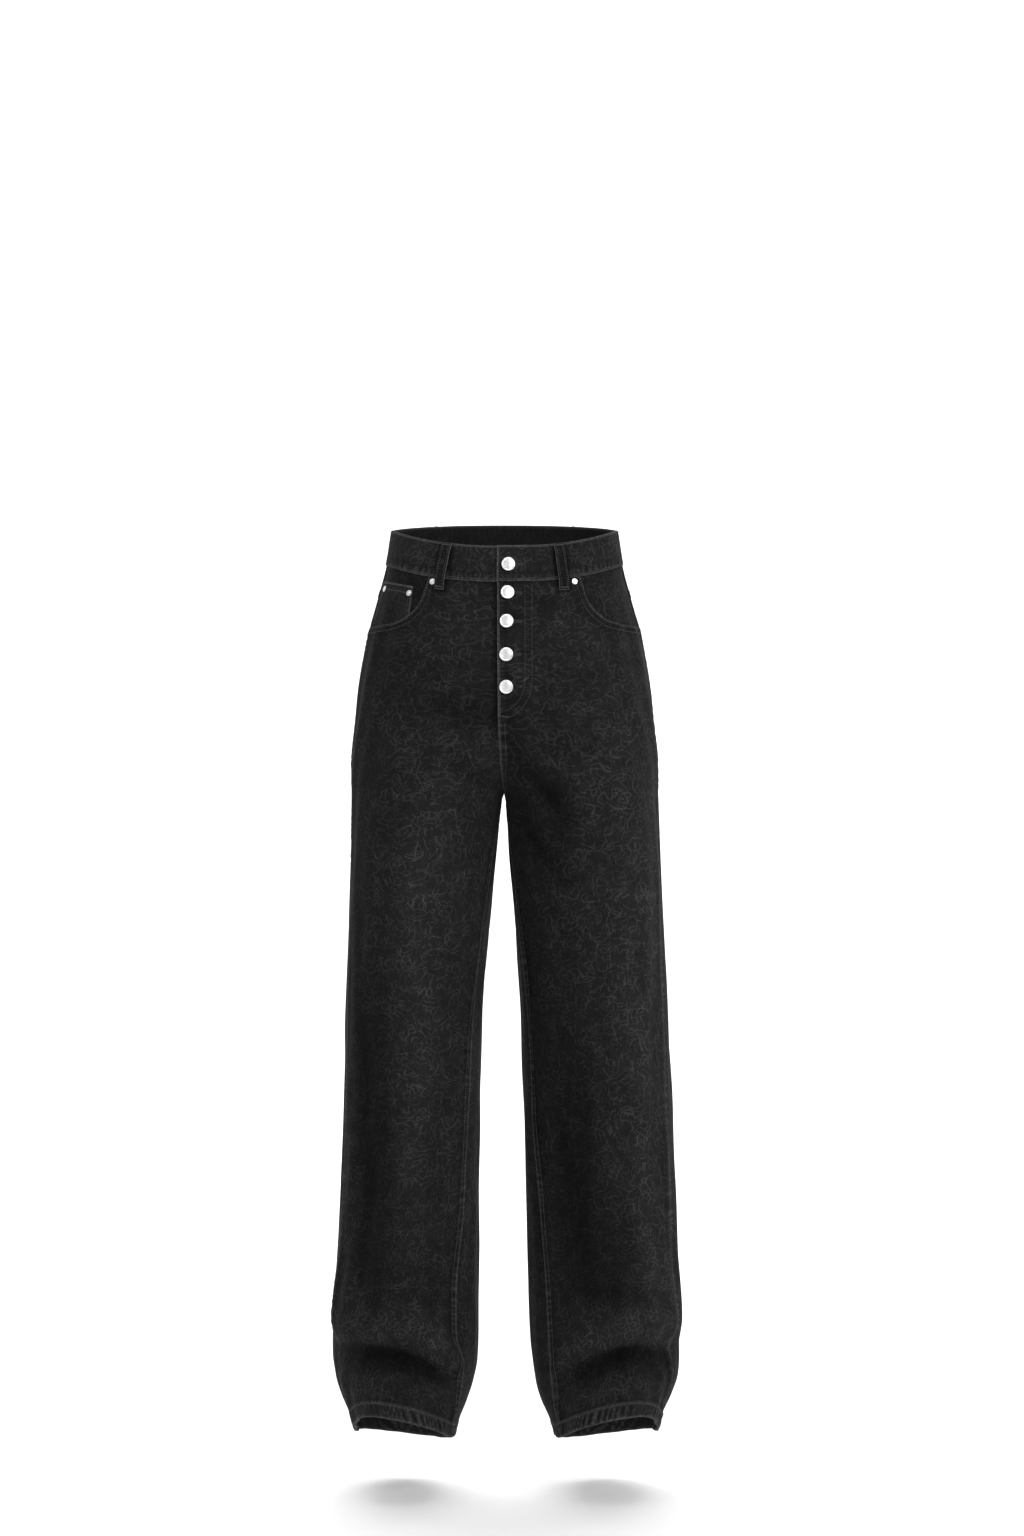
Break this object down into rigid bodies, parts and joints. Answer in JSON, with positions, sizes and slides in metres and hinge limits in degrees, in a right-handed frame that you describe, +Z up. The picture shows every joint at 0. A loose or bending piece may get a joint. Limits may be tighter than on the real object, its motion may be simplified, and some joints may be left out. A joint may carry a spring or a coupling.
{
  "type": "wide leg jeans",
  "caption": "High-rise wide leg denim jeans in a hollow worn pose, with scooped front pockets, patch back pockets, belt loops and a lapped button fly.",
  "frame": {"origin": "middle of the waist, level with the waistband's top edge at centre front, where the wearer holds it", "axes": "+Z up through the waist, -Y to the front, +X to the wearer's left"},
  "size_m": [0.444, 0.2966, 1.1865],
  "materials": {
    "black_denim": "washed black denim twill with a faint crinkle and pale worn edges",
    "polished_metal": "bright plain metal buttons and rivets"
  },
  "bodies": {
    "root": {"front_right": "black_denim", "front_left": "black_denim", "back_right": "black_denim", "back_left": "black_denim", "yoke_right": "black_denim", "yoke_left": "black_denim", "facing_right": "black_denim", "facing_left": "black_denim", "coin_pocket": "black_denim", "back_pocket_right": "black_denim", "back_pocket_left": "black_denim", "button_stand": "black_denim", "waistband": "black_denim", "belt_loop_front_right": "black_denim", "belt_loop_front_left": "black_denim", "belt_loop_back_right": "black_denim", "belt_loop_back_left": "black_denim", "belt_loop_centre_back": "black_denim", "waist_button": "polished_metal", "fly_button_1": "polished_metal", "fly_button_2": "polished_metal", "fly_button_3": "polished_metal", "fly_button_4": "polished_metal", "rivet_pocket_right": "polished_metal", "rivet_pocket_left": "polished_metal", "rivet_coin_pocket_in": "polished_metal", "rivet_coin_pocket_out": "polished_metal"}
  },
  "joints": []
}
